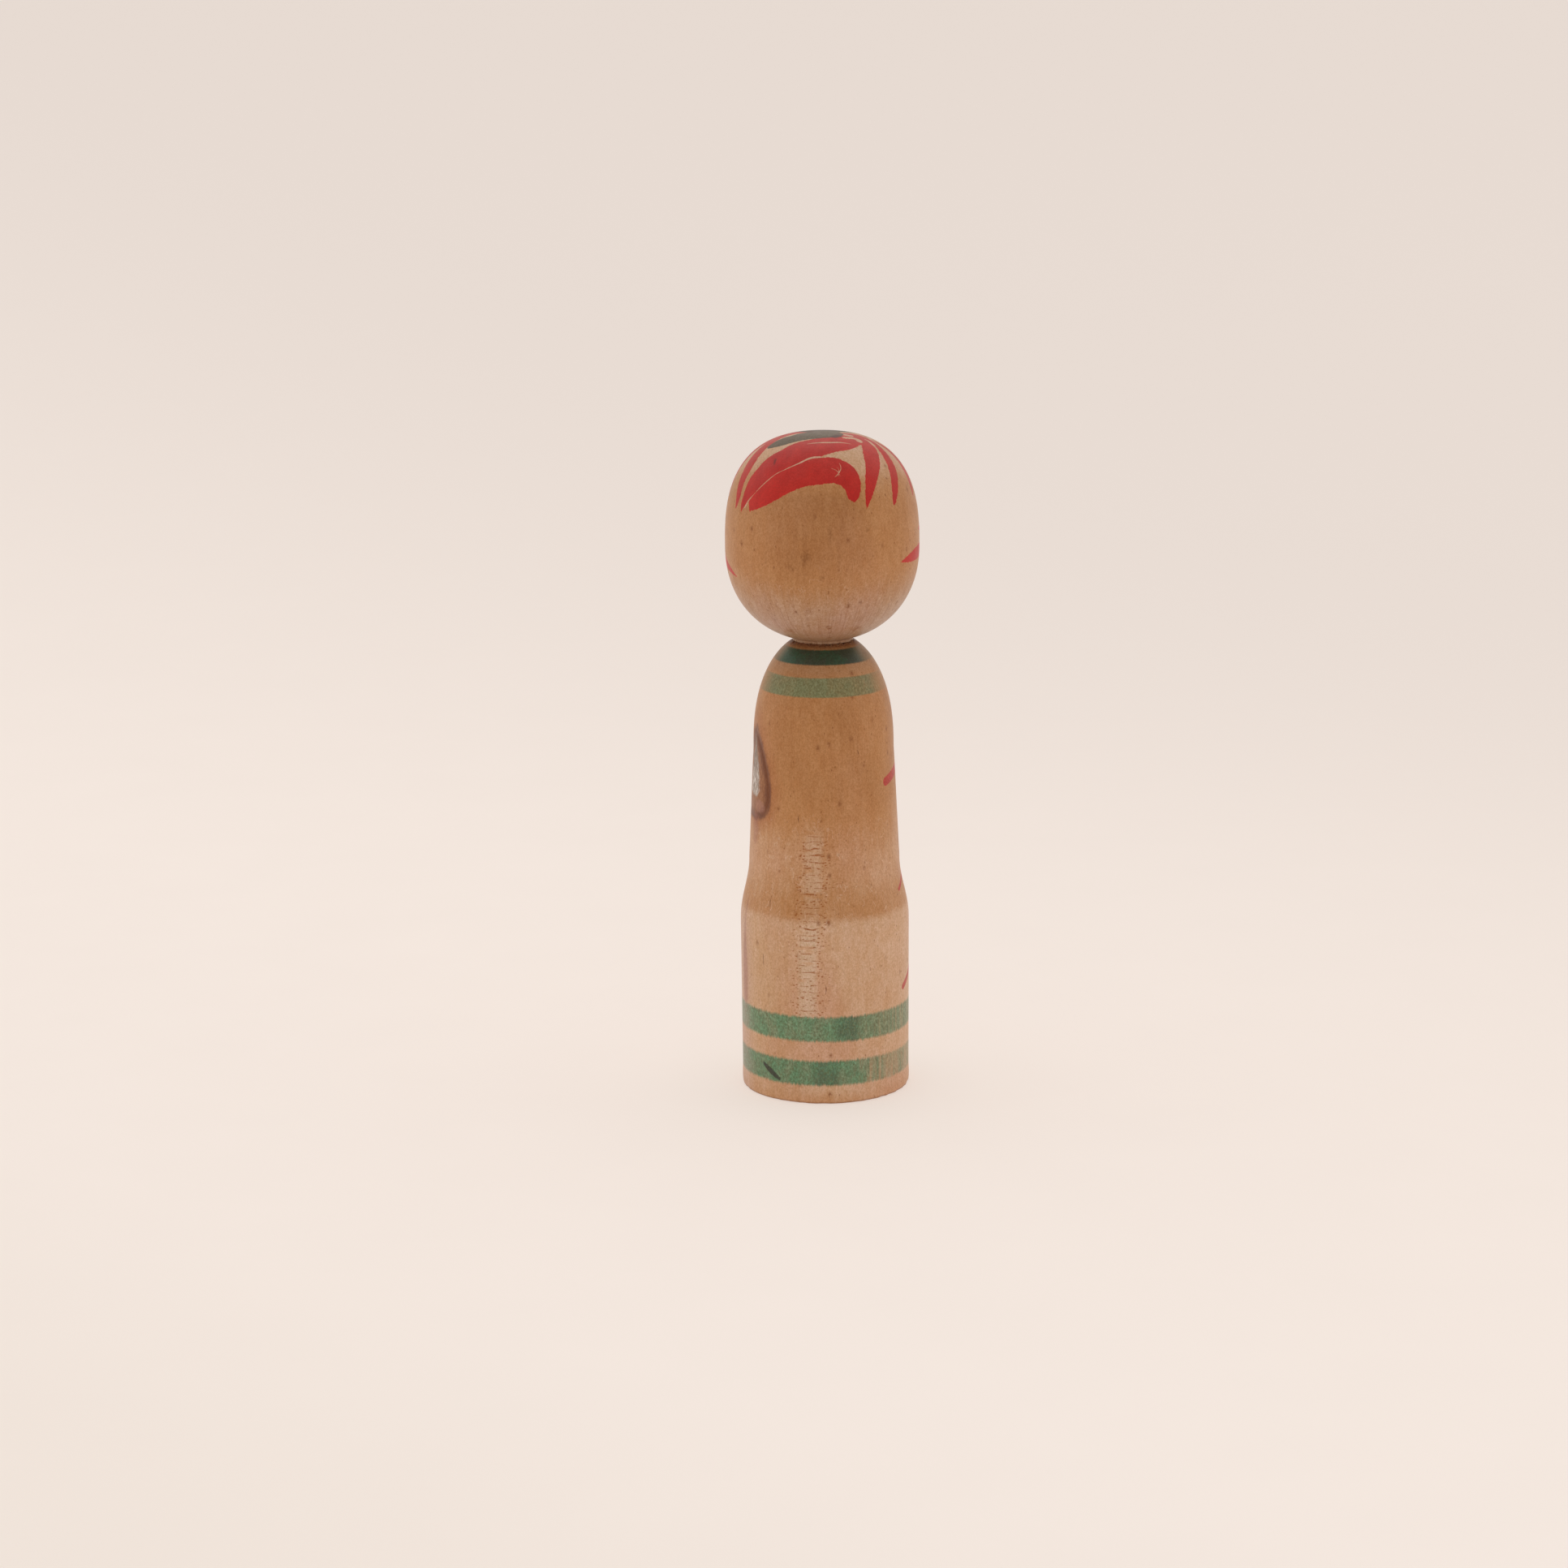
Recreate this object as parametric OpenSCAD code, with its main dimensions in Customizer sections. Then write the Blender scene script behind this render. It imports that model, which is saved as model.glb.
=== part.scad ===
// Turned wooden kokeshi doll: a round head with its own neck peg, and a body bored to take it.
// Millimetres, +Z up, origin at the centre of the base, painted face towards -Y.

/* [Head] */
// Largest radius of the head
head_r = 35.1; // [33:0.1:37]
// Height of the head above the neck seam
head_h = 75.4; // [70:0.1:80]
// Height of the head's widest circle above the neck seam
head_widest_h = 34.8; // [32:0.1:38]
// Squareness of the head above its widest circle, 2 is an ellipse
crown_square = 2.64; // [2:0.02:3.2]
// Squareness of the head below its widest circle, 2 is an ellipse
cheek_square = 2.2; // [2:0.02:2.8]
// How far the head's lower curve would reach below the seam if the neck did not cut it
cheek_overrun = 0.25; // [0:0.05:0.5]

/* [Neck] */
// Radius of the head and of the body where they meet
neck_r = 11; // [9:0.5:12]
// Height of the straight collar that ends the head above the seam
collar_h = 0.8; // [0.4:0.1:1.5]
// Radius of the peg turned under the head
peg_r = 6; // [4.5:0.1:6.5]
// Length of the peg below the neck seam
peg_l = 30; // [20:1:36]
// Slope taken off the peg's tip and off the mouth of the bore
peg_chamfer = 0.8; // [0.4:0.1:1.2]
// Radial clearance that lets the peg turn in the bore
peg_clearance = 0.05; // [0.02:0.01:0.1]
// Free depth left under the peg's tip
bore_spare = 2; // [1:0.5:4]

/* [Body] */
// Height of the body, from the base to the neck seam
body_h = 167; // [160:1:175]
// Radius of the body at the base
foot_r = 30.8; // [30:0.1:31.5]
// Radius at the top of the straight skirt
skirt_r = 31; // [30:0.1:32]
// Height of the straight skirt
skirt_h = 63; // [58:1:68]
// Height of the soft step between skirt and trunk
step_h = 23; // [16:1:28]
// Radius of the trunk just above the step
waist_r = 27.6; // [26:0.1:29]
// Radius of the trunk where the shoulder begins
trunk_r = 25.6; // [24.5:0.1:26.5]
// Height at which the shoulder begins
shoulder_z = 128.5; // [124:0.5:132]
// Squareness of the shoulder, 2 is an ellipse
shoulder_square = 2.25; // [2:0.05:2.8]
// Radius of the edge that is rubbed off around the base
foot_edge_r = 0.8; // [0.4:0.1:1.5]

/* [Hidden] */

turned_fn = 160;        // facets around a turned surface
curve_step = 2;         // degrees between the points of a curved outline
step_points = 20;       // points along the soft step
edge_step = 15;         // degrees between the points of a small edge

wood_colour = [0.74, 0.55, 0.37];
head_colour = [0.73, 0.53, 0.36];

bore_r = peg_r + peg_clearance;
bore_l = peg_l + bore_spare;
head_widest_z = body_h + head_widest_h;
crown_h = head_h - head_widest_h;
cheek_h = head_widest_h + cheek_overrun;

// Share of one half-axis that is left at share s of the other, on a curve of squareness n.
function squared(s, n) = pow(1 - pow(s, n), 1 / n);

// Points on a quarter of such a curve, between two angles: 0 is its widest circle, 90 its pole.
function quarter(r, h, n, from, to) = [
    for (a = [from : curve_step : to])
        [r * pow(cos(a), 2 / n), h * pow(sin(a), 2 / n)]
];

// Angle on that curve at which the radius is down to cut_r.
function quarter_angle(r, n, cut_r) = acos(pow(cut_r / r, n / 2));

// Half-axis that makes the shoulder come in to the neck's radius exactly at the seam.
shoulder_h = (body_h - shoulder_z) / squared(neck_r / trunk_r, shoulder_square);

// Outline of the head above its widest circle, going up.
function crown_outline() = [
    for (p = quarter(head_r, crown_h, crown_square, 0, 90 - curve_step))
        [p[0], head_widest_z + p[1]]
];

// Outline of the head below its widest circle, going down to the short collar at the neck.
function cheek_outline() = [
    for (p = quarter(head_r, cheek_h, cheek_square, curve_step,
            quarter_angle(head_r, cheek_square, neck_r)))
        if (head_widest_z - p[1] > body_h + collar_h)
            [p[0], head_widest_z - p[1]]
];

// Outline of the body: its rubbed edge at the base, the soft step, then the shoulder.
function foot_outline() = [
    for (a = [-90 : edge_step : 0])
        [foot_r - foot_edge_r + foot_edge_r * cos(a), foot_edge_r + foot_edge_r * sin(a)]
];

function step_outline() = [
    for (i = [0 : step_points])
        let (t = i / step_points)
            [skirt_r + (waist_r - skirt_r) * (1 - cos(180 * t)) / 2, skirt_h + step_h * t]
];

function shoulder_outline() = [
    for (p = quarter(trunk_r, shoulder_h, shoulder_square, 0,
            quarter_angle(trunk_r, shoulder_square, neck_r)))
        [p[0], shoulder_z + p[1]]
];

// Outline of the peg, from the middle of its tip up to the seam.
function peg_outline() = [
    [0, body_h - peg_l],
    [peg_r - peg_chamfer, body_h - peg_l],
    [peg_r, body_h - peg_l + peg_chamfer],
    [peg_r, body_h]
];

// Outline of the bore, from its sloped mouth down to the middle of its floor.
function bore_outline() = [
    [bore_r + peg_chamfer, body_h],
    [bore_r, body_h - peg_chamfer],
    [bore_r, body_h - bore_l],
    [0, body_h - bore_l]
];

// The head and its peg are turned from one block.
module head() {
    color(head_colour)
        rotate_extrude($fn = turned_fn)
            polygon(concat(
                peg_outline(),
                [[neck_r, body_h], [neck_r, body_h + collar_h]],
                [for (i = [len(cheek_outline()) - 1 : -1 : 0]) cheek_outline()[i]],
                crown_outline(),
                [[0, body_h + head_h]]
            ));
}

// The body is turned from a second block and bored for the peg.
module body() {
    color(wood_colour)
        rotate_extrude($fn = turned_fn)
            polygon(concat(
                [[0, 0]],
                foot_outline(),
                step_outline(),
                shoulder_outline(),
                [[neck_r, body_h]],
                bore_outline()
            ));
}

body();
head();
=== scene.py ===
import math

import bpy
import numpy as np
from mathutils import Matrix, Vector


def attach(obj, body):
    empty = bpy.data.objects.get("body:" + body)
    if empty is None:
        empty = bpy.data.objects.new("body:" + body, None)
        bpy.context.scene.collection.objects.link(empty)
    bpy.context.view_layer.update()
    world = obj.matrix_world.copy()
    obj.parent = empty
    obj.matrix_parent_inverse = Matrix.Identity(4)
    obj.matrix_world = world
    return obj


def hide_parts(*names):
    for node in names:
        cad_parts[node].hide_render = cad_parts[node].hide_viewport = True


# Looks of a turned and painted kokeshi doll: a head on its own peg, and a body bored to take it.
# Lengths are millimetres until they go into Blender, which takes metres.
# Azimuth is measured round the doll's axis in degrees: 0 is the middle of the painted face,
# 90 the doll's right side, 180 the middle of the back. Latitude is measured from the centre of
# the head's widest circle, so 90 is the top of the crown.

MM = 0.001

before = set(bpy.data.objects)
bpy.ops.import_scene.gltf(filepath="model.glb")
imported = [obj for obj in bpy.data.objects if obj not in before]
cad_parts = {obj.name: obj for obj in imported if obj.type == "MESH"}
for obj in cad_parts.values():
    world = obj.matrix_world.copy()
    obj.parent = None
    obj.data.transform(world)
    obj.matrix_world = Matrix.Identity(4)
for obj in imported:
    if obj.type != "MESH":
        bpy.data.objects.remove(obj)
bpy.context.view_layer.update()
rng = np.random.default_rng(8)


# ---------------------------------------------------------------- camera

def make_camera():
    """A long lens a little above the doll's head, behind it and slightly to its right.

    Here alone azimuth goes the other way round, as a view's does: 90 is the doll's left side.
    """
    distance, height, azimuth = 1.3068, 0.4095, math.radians(185)
    turn, tilt, roll = math.radians(0.64), math.radians(12.782), math.radians(-0.54)
    place = Vector((math.sin(azimuth) * distance, -math.cos(azimuth) * distance, height))
    level = Matrix.Rotation(turn, 3, "Z") @ Vector((-place.x, -place.y, 0)).normalized()
    ahead = level * math.cos(tilt) - Vector((0, 0, math.sin(tilt)))
    right = ahead.cross(Vector((0, 0, 1))).normalized()
    up = right.cross(ahead)
    right, up = (
        right * math.cos(roll) + up * math.sin(roll),
        up * math.cos(roll) - right * math.sin(roll),
    )
    data = bpy.data.cameras.new("camera")
    data.lens, data.sensor_width = 83.97, 36
    data.clip_start, data.clip_end = 0.05, 30
    camera = bpy.data.objects.new("camera", data)
    turned = Matrix((right, up, -ahead)).transposed().to_4x4()
    camera.matrix_world = Matrix.Translation(place) @ turned
    bpy.context.scene.collection.objects.link(camera)
    bpy.context.scene.camera = camera


make_camera()


# ---------------------------------------------------------------- turned shapes

def smooth(points, step):
    """Points every step along a soft curve through the given ones."""
    points = np.asarray(points, float)
    along = np.r_[0, np.cumsum(np.linalg.norm(np.diff(points[:, :3], axis=0), axis=1))]
    slope = np.gradient(points, along, axis=0)
    at = np.linspace(0, along[-1], max(2, round(along[-1] / step) + 1))
    i = np.clip(np.searchsorted(along, at, "right") - 1, 0, len(along) - 2)
    gap = (along[i + 1] - along[i])[:, None]
    t = (at - along[i])[:, None] / gap
    return (
        (1 + 2 * t) * (1 - t) ** 2 * points[i]
        + t * (1 - t) ** 2 * gap * slope[i]
        + t * t * (3 - 2 * t) * points[i + 1]
        + t * t * (t - 1) * gap * slope[i + 1]
    )


def rings_of(node):
    """Every circle of a turned CAD node as (radius, height), going up, and out at one height."""
    co = np.array([v.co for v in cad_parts[node].data.vertices]) / MM
    circles = np.unique(np.round(np.c_[co[:, 2], np.hypot(co[:, 0], co[:, 1])], 2), axis=0)
    return circles[:, ::-1]


def apart(circles, least=0.05):
    """The circles without those that repeat the one before."""
    kept = [circles[0]]
    for c in circles[1:]:
        if np.hypot(*(c - kept[-1])) > least:
            kept.append(c)
    return np.array(kept)


def straight(a, b, step):
    """Points every step from a to b, without b."""
    count = max(1, round(math.dist(a, b) / step))
    return [np.array(a) + (np.array(b) - np.array(a)) * k / count for k in range(count)]


class Turned:
    """A turned surface: circles along its outline, with the same number of points on each."""

    def __init__(self, outline, columns):
        self.r, self.z = np.array(outline).T
        self.azimuth = np.arange(columns) * 2 * math.pi / columns
        self.shape = (len(self.r), columns)
        self.co = self.points(self.r, self.z)

    def points(self, r, z):
        r, z = (np.broadcast_to(np.reshape(a, (len(self.r), -1)), self.shape) for a in (r, z))
        return np.stack([-r * np.sin(self.azimuth), -r * np.cos(self.azimuth), z], -1)

    def grid(self):
        """Azimuth in degrees from -180 to 180, and height, of every point."""
        azimuth = (np.degrees(self.azimuth) + 180) % 360 - 180
        return np.broadcast_to(azimuth, self.shape), self.co[..., 2]


def build(name, turned, attributes, material, body):
    """Makes the closed mesh of a turned surface whose two ends lie on the axis."""
    rows, columns = turned.shape
    inner = turned.co[1:-1].reshape(-1, 3)
    ends = np.array([turned.co[0, 0], turned.co[-1, 0]])
    verts = np.concatenate([inner, ends]) * MM
    first, last = len(inner), len(inner) + 1
    index = np.arange(len(inner)).reshape(rows - 2, columns)
    beside = np.roll(index, -1, axis=1)
    quads = np.stack([index[:-1], beside[:-1], beside[1:], index[1:]], -1).reshape(-1, 4)
    faces = quads.tolist()
    faces += [[first, b, a] for a, b in zip(index[0].tolist(), beside[0].tolist())]
    faces += [[last, a, b] for a, b in zip(index[-1].tolist(), beside[-1].tolist())]
    mesh = bpy.data.meshes.new(name)
    mesh.from_pydata(verts.tolist(), [], faces)
    for key, values in attributes.items():
        flat = np.r_[values[1:-1].reshape(-1), values[0, 0], values[-1, 0]]
        layer = mesh.attributes.new(key, "FLOAT", "POINT")
        layer.data.foreach_set("value", flat.astype(np.float32))
    mesh.polygons.foreach_set("use_smooth", [True] * len(faces))
    mesh.set_sharp_from_angle(angle=math.radians(35))
    mesh.materials.append(material)
    piece = bpy.data.objects.new(name, mesh)
    bpy.context.scene.collection.objects.link(piece)
    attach(piece, body)
    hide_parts(body)
    return piece


# ---------------------------------------------------------------- where things are

HEAD_STEP, HEAD_COLUMNS = 0.5, 440
BODY_STEP, BODY_COLUMNS = 0.64, 336

head_rings = rings_of("head")
body_rings = rings_of("body")
SEAM = body_rings[-1, 1]
NECK = body_rings[-1, 0]
TOP = head_rings[-1, 1]
head_outer = apart(head_rings[(head_rings[:, 1] >= SEAM) & (head_rings[:, 0] > NECK - 0.5)])
crown_pole = np.array([0.0, TOP])
body_outer = apart(body_rings[body_rings[:, 0] > NECK - 0.5])
CENTRE = float(head_outer[np.argmax(head_outer[:, 0]), 1])
collar_top = head_outer[1]

crown_line = smooth(np.vstack([head_outer[1:], crown_pole]), HEAD_STEP)[::-1]
body_line = smooth(body_outer, BODY_STEP)
crown_latitude = np.degrees(np.arctan2(crown_line[:, 1] - CENTRE, crown_line[:, 0]))


def on_head(azimuth, latitude):
    """Point of the head's surface at an azimuth and a latitude."""
    a = np.radians(azimuth)
    r = np.interp(latitude, crown_latitude[::-1], crown_line[::-1, 0])
    z = np.interp(latitude, crown_latitude[::-1], crown_line[::-1, 1])
    return np.stack([-r * np.sin(a), -r * np.cos(a), z], -1)


def on_body(azimuth, height):
    """Point of the body's outer surface at an azimuth and a height."""
    a = np.radians(azimuth)
    r = np.interp(height, body_line[:, 1], body_line[:, 0])
    return np.stack([-r * np.sin(a), -r * np.cos(a), height + 0 * a], -1)


def bearing(p):
    return np.degrees(np.arctan2(-p[..., 0], -p[..., 1]))


def drop_on_head(p):
    latitude = np.degrees(np.arctan2(p[..., 2] - CENTRE, np.hypot(p[..., 0], p[..., 1])))
    return on_head(bearing(p), latitude)


def drop_on_body(p):
    return on_body(bearing(p), p[..., 2])


# ---------------------------------------------------------------- brush strokes

FAR = 4.0
LINE_BAND = 1.2


def trace(points, place, drop, step=0.4):
    """A brush's path over a surface: points a step apart, and its half-width at each."""
    azimuth, other, half = np.array(points, float).T
    curve = smooth(np.c_[place(azimuth, other), half], step)
    return drop(curve[:, :3]), np.maximum(curve[:, 3], 0.02)


def nearby(co, path, reach):
    """Flat indices of the points that may be within reach of a path."""
    flat = co.reshape(-1, 3)
    low, high = path.min(0) - reach, path.max(0) + reach
    return np.nonzero(((flat > low) & (flat < high)).all(1))[0]


def brush(co, strokes, place, drop):
    """Distance outside the nearest stroke, negative inside, and how far along it the point is."""
    edge = np.full(co.shape[:2], FAR).reshape(-1)
    along = np.zeros_like(edge)
    for stroke in strokes:
        path, half = trace(stroke, place, drop)
        near = nearby(co, path, FAR + half.max())
        away = np.linalg.norm(co.reshape(-1, 3)[near, None] - path, axis=2) - half
        nearest = away.argmin(1)
        d = away[np.arange(len(near)), nearest]
        won = d < edge[near]
        edge[near[won]] = d[won]
        along[near[won]] = nearest[won] / len(path)
    return edge.reshape(co.shape[:2]), along.reshape(co.shape[:2])


def lines(co, strokes, place, drop):
    """Signed distance across the nearest thin line, and its half-width there, -1 away from it."""
    across = np.full(co.shape[:2], FAR).reshape(-1)
    width = np.full_like(across, -1.0)
    for stroke in strokes:
        path, half = trace(stroke, place, drop, 0.15)
        ahead = np.gradient(path, axis=0)
        ahead /= np.linalg.norm(ahead, axis=1)[:, None]
        outward = path * (1, 1, 0)
        side = np.cross(ahead, outward / np.linalg.norm(outward, axis=1)[:, None])
        near = nearby(co, path, LINE_BAND)
        gap = co.reshape(-1, 3)[near, None] - path
        i = np.linalg.norm(gap, axis=2).argmin(1)
        gap = gap[np.arange(len(near)), i]
        past = np.abs((gap * ahead[i]).sum(1))
        w = half[i] - past
        d = (gap * side[i]).sum(1)
        won = (np.linalg.norm(gap, axis=1) < LINE_BAND) & (w - abs(d) > width[near] - abs(across[near]))
        across[near[won]] = d[won]
        width[near[won]] = w[won]
    return across.reshape(co.shape[:2]), width.reshape(co.shape[:2])


# Red strokes over the crown, most of them from one start behind the doll's right temple.
CROWN_STROKES = [
    [(-70, 84, 1.5), (-100, 70, 2.4), (-112, 58, 2.8), (-118, 45, 2.8), (-119, 38, 2.2),
     (-121, 29, 1.3), (-120.5, 24, 0.2)],
    [(118, 65, 1.5), (132, 68, 3.6), (146, 68, 5.2), (167, 67, 5.9), (-177, 64, 6.1), (-163, 60, 6.1),
     (-154, 55, 5.5), (-145, 50, 5.2), (-139, 44, 4.4), (-134, 37.5, 3.6), (-131, 31.5, 2.4),
     (-128.5, 27, 1.1), (-127.5, 23, 0.2)],
    [(-134.5, 30, 0.5), (-136.4, 24.7, 0.35)],
    [(-138.3, 28, 2.1), (-142, 31.6, 3.6), (-151, 37, 4.6), (-161, 42.5, 4.9), (-172, 46.5, 5.4),
     (176, 48, 5.5), (165, 48, 5.2), (157.5, 44.5, 4.5), (154.5, 38.5, 3), (155, 34, 2),
     (155, 32.3, 1)],
    [(114, 66, 1.6), (118, 62, 2.7), (126.5, 55.8, 3.3), (135, 47, 2.8), (140.7, 40, 2.2),
     (144.7, 33, 1.3), (147, 27, 0.2)],
    [(96, 68, 0.6), (98, 64.4, 1), (102, 61, 1.3), (106, 57.2, 1.8), (110, 52, 2.1), (114, 45, 2.3),
     (118, 39.5, 2), (122, 33.5, 1.5), (124.5, 29, 0.8), (125.7, 27, 0.2)],
    [(114, 68, 0.6), (98, 66, 0.9), (90, 58, 1.6), (90, 49, 2.1), (91.5, 42, 2.3), (93.5, 36, 1.9),
     (98, 28, 0.2)],
    [(96, 68, 1.6), (99, 73, 2.4), (115, 77, 2.6), (136, 77, 1.8)],
    [(140, 74.5, 1.2), (128, 74, 2.4), (117, 72, 3), (108, 68, 3), (104, 64, 2), (103, 61, 0.6)],
    [(70, 70, 0.8), (67, 60, 1.8), (66, 50, 2.3), (68, 41, 2.2), (72, 33, 1.4), (77, 27, 0.2)],
    [(-70, 78, 1), (-92, 66, 2), (-95, 54, 2.4), (-96, 44, 2.2), (-97, 35, 1.5), (-98, 27, 0.2)],
    [(-60, 74, 1), (-72, 62, 2), (-74, 50, 2.4), (-74, 41, 2.2), (-76, 33, 1.4), (-79, 26, 0.2)],
]
# Red curls behind the sidelocks.
CHEEK_STROKES = [
    [(122, -5.6, 0.1), (113, -4.6, 1.4), (102, -3.4, 2.3), (88, -2, 2.3), (77, 0.5, 1.3), (72, 4, 0.4)],
    [(-123, -15.4, 0.1), (-115, -12.6, 0.9), (-106, -10, 1.7), (-92, -6, 2.1), (-80, -1.5, 1.4),
     (-74, 3, 0.4)],
    [(95, 10, 0.1), (88, 10.5, 1.3), (80, 12.5, 1.6), (73, 16, 0.5)],
    [(-95, 6, 0.1), (-88, 8, 1.3), (-80, 11.5, 1.6), (-74, 16, 0.5)],
]
# Thin bare gaps left between the strokes on the crown.
CROWN_GAPS = [
    [(137, 73, 0.1), (127.2, 71.8, 0.6), (120.5, 70.2, 1), (119, 68, 0.9), (122.5, 65, 0.2)],
    [(-167, 66.5, 0.05), (-180, 68, 0.14), (163, 68, 0.17), (150, 67.5, 0.14), (138, 65, 0.05)],
    [(103.5, 67.3, 0.1), (104.8, 64.6, 0.25), (109, 61, 0.4)],
    [(118, 78.7, 0.2), (115.5, 76.7, 0.4), (113.6, 74.5, 0.4), (110.5, 72.4, 0.2)],
    [(93, 66, 0.15), (95, 61, 0.25), (97, 58, 0.15)],
    [(176, 56, 0.25), (-178, 55.7, 0.3), (-166, 51.4, 0.2), (-157.6, 48, 0.13), (-151, 45, 0.12),
     (-145.5, 40.9, 0.18), (-141.5, 37.4, 0.16), (-136.7, 32.8, 0.12), (-134, 30.2, 0.3), (-131, 26, 0.4)],
    [(161, 52, 0.05), (160.5, 49, 0.12), (163.5, 45.5, 0.16), (166, 44, 0.05)],
    [(168, 49, 0.04), (164, 47.5, 0.1), (162, 44.5, 0.05)],
]
# Black hair: a patch over the crown that comes down to a fringe on the forehead.
HAIR_PATCH = [
    [(-122, 61.5, 1.7), (-127, 66, 3.6), (-138, 73.5, 4.6), (-160, 81, 6), (160, 83.5, 6.4), (137, 81, 3.8),
     (137, 78, 2)],
]
BLOTS = [[(136, 76, 1.2), (148, 75.5, 1.5)], [(-144, 53, 0.5), (-145.5, 50.5, 0.3)]]
# Dirt where hands turn the head, low on it and in the middle of its back.
SMUDGES = [
    [(-151, -51, 0.5), (-154.5, -52, 0.9)], [(141.5, -48.6, 0.5), (145, -49.6, 0.9)],
    [(-176, 4, 0.3), (-175.5, 1.5, 1.2), (-174, -2.5, 0.6)], [(175, -10.4, 0.3), (175, -12, 0.4)],
    [(-164.5, -4.4, 0.1), (-168, -6, 0.3)], [(-176, -31.6, 0.5), (-176.5, -33.4, 0.4)],
    [(170.4, 17.5, 0.2), (170.2, 13, 0.4)], [(147.6, 17, 0.3), (147.8, 15.6, 0.3)],
]
FRINGE = [
    [(az * 1.2, 84, 3), (az, 60, 3.4), (az, tip + 14, 3), (az * 0.98, tip + 6, 2), (az * 0.96, tip, 0.2)]
    for az, tip in ((0, 27), (13, 27.5), (-13, 28.5), (26, 30), (-26, 30.5), (38, 35), (-38, 34.5),
                    (49, 42), (-50, 41))
]
SIDELOCKS = [
    [(60, 27, 0.3), (62, 20, 1.6), (64, 8, 2.3), (65, -6, 2), (63, -18, 1.2), (60, -25, 0.2)],
    [(-60, 27, 0.3), (-62, 19, 1.6), (-64, 7, 2.3), (-65, -7, 2), (-63, -18, 1.2), (-60, -26, 0.2)],
]
# Fine lines of the face: brows, lids, nose and the line between the lips.
FACE_LINES = [
    [(8, 10, 0.15), (13, 12.6, 0.4), (20, 13.4, 0.42), (29, 10, 0.12)],
    [(-8, 10, 0.15), (-13, 12.6, 0.4), (-20, 13.3, 0.42), (-29, 10.2, 0.12)],
    [(8.5, -0.6, 0.12), (13, 2.2, 0.4), (19, 2.6, 0.48), (27, -1, 0.15)],
    [(-8.5, -0.6, 0.12), (-13, 2.2, 0.4), (-19, 2.7, 0.48), (-27, -0.8, 0.15)],
    [(10, -2.4, 0.1), (17, -3.6, 0.22), (25, -2.6, 0.1)],
    [(-10, -2.4, 0.1), (-17, -3.6, 0.22), (-25, -2.5, 0.1)],
    [(3, 3, 0.1), (2.2, -3, 0.22), (3.2, -8, 0.3), (1.2, -10.4, 0.34), (-2.4, -9.2, 0.15)],
    [(-5.6, -20.6, 0.1), (-2, -21.2, 0.24), (2, -21.2, 0.24), (5.6, -20.5, 0.1)],
]
IRISES = [[(17.2, 0.8, 1.1), (18, -1.4, 1.2)], [(-17.2, 0.8, 1.1), (-18, -1.4, 1.2)]]
LIPS = [
    [(-5, -20.6, 0.2), (-2.4, -19.6, 0.8), (0, -20.1, 0.7), (2.4, -19.6, 0.8), (5, -20.6, 0.2)],
    [(-3.6, -22, 0.3), (0, -22.8, 1), (3.6, -22, 0.3)],
]


# One side of a flower: for each petal where it starts, where it is highest and where it ends, as
# azimuth and height above the flower's foot. The outermost petal ends where the flower is told to.
PETAL_ARCS = [
    ((2, 16.6), (22, 19.6), None),
    ((2, 13), (19, 15.6), (74, 11.2)),
    ((2, 9.6), (16, 11.8), (58, 6.6)),
    ((2, 6.2), (13, 8), (43, 2.4)),
    ((2, 3), (10, 4.3), (29, -1.4)),
]


def flower(foot, right, left):
    """A layered chrysanthemum: nested petals arch out to both sides of the doll's front."""
    petals = [
        [(0, foot + 20, 0.3), (0, foot + 22.6, 1.3), (0, foot + 25, 0.2)],
        [(6, foot + 21, 0.2), (9, foot + 22.8, 1), (14, foot + 24, 0.2)],
        [(-6, foot + 21, 0.2), (-9, foot + 22.8, 1), (-14, foot + 24, 0.2)],
    ]
    for side, (reach, fall, thick) in ((1, right), (-1, left)):
        for start, peak, end in PETAL_ARCS:
            tip = end or (reach, fall)
            wide = 0.9 if end else thick
            past = (peak[0] + (tip[0] - peak[0]) * 0.45, peak[1] - (peak[1] - tip[1]) * 0.28)
            near = (peak[0] + (tip[0] - peak[0]) * 0.78, peak[1] - (peak[1] - tip[1]) * 0.68)
            petals.append([
                (side * start[0], foot + start[1], 0.3),
                (side * peak[0] * 0.5, foot + start[1] * 0.35 + peak[1] * 0.65, 1),
                (side * peak[0], foot + peak[1], 1.3),
                (side * past[0], foot + past[1], 1.35),
                (side * near[0], foot + near[1], 1.3 * wide),
                (side * tip[0], foot + tip[1], 1.2 * wide),
            ])
    return petals


PETALS = [
    *flower(104.5, (116, 12.3, 1.4), (76, 14, 0.9)),
    *flower(69, (105.5, 6.6, 0.6), (74, 13, 0.9)),
    *flower(34.5, (107.5, 4.6, 0.95), (74, 12.6, 0.9)),
]
LEAVES = [
    [(s * 7, z - 2, 0.3), (s * 18, z + 1, 1.7), (s * 30, z + 1.4, 1.8), (s * 44, z - 2.4, 0.3)]
    for z in (99, 64) for s in (1, -1)
] + [[(0, z - 2.6, 0.35), (0, z + 5.4, 0.45)] for z in (99, 64)]
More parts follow.
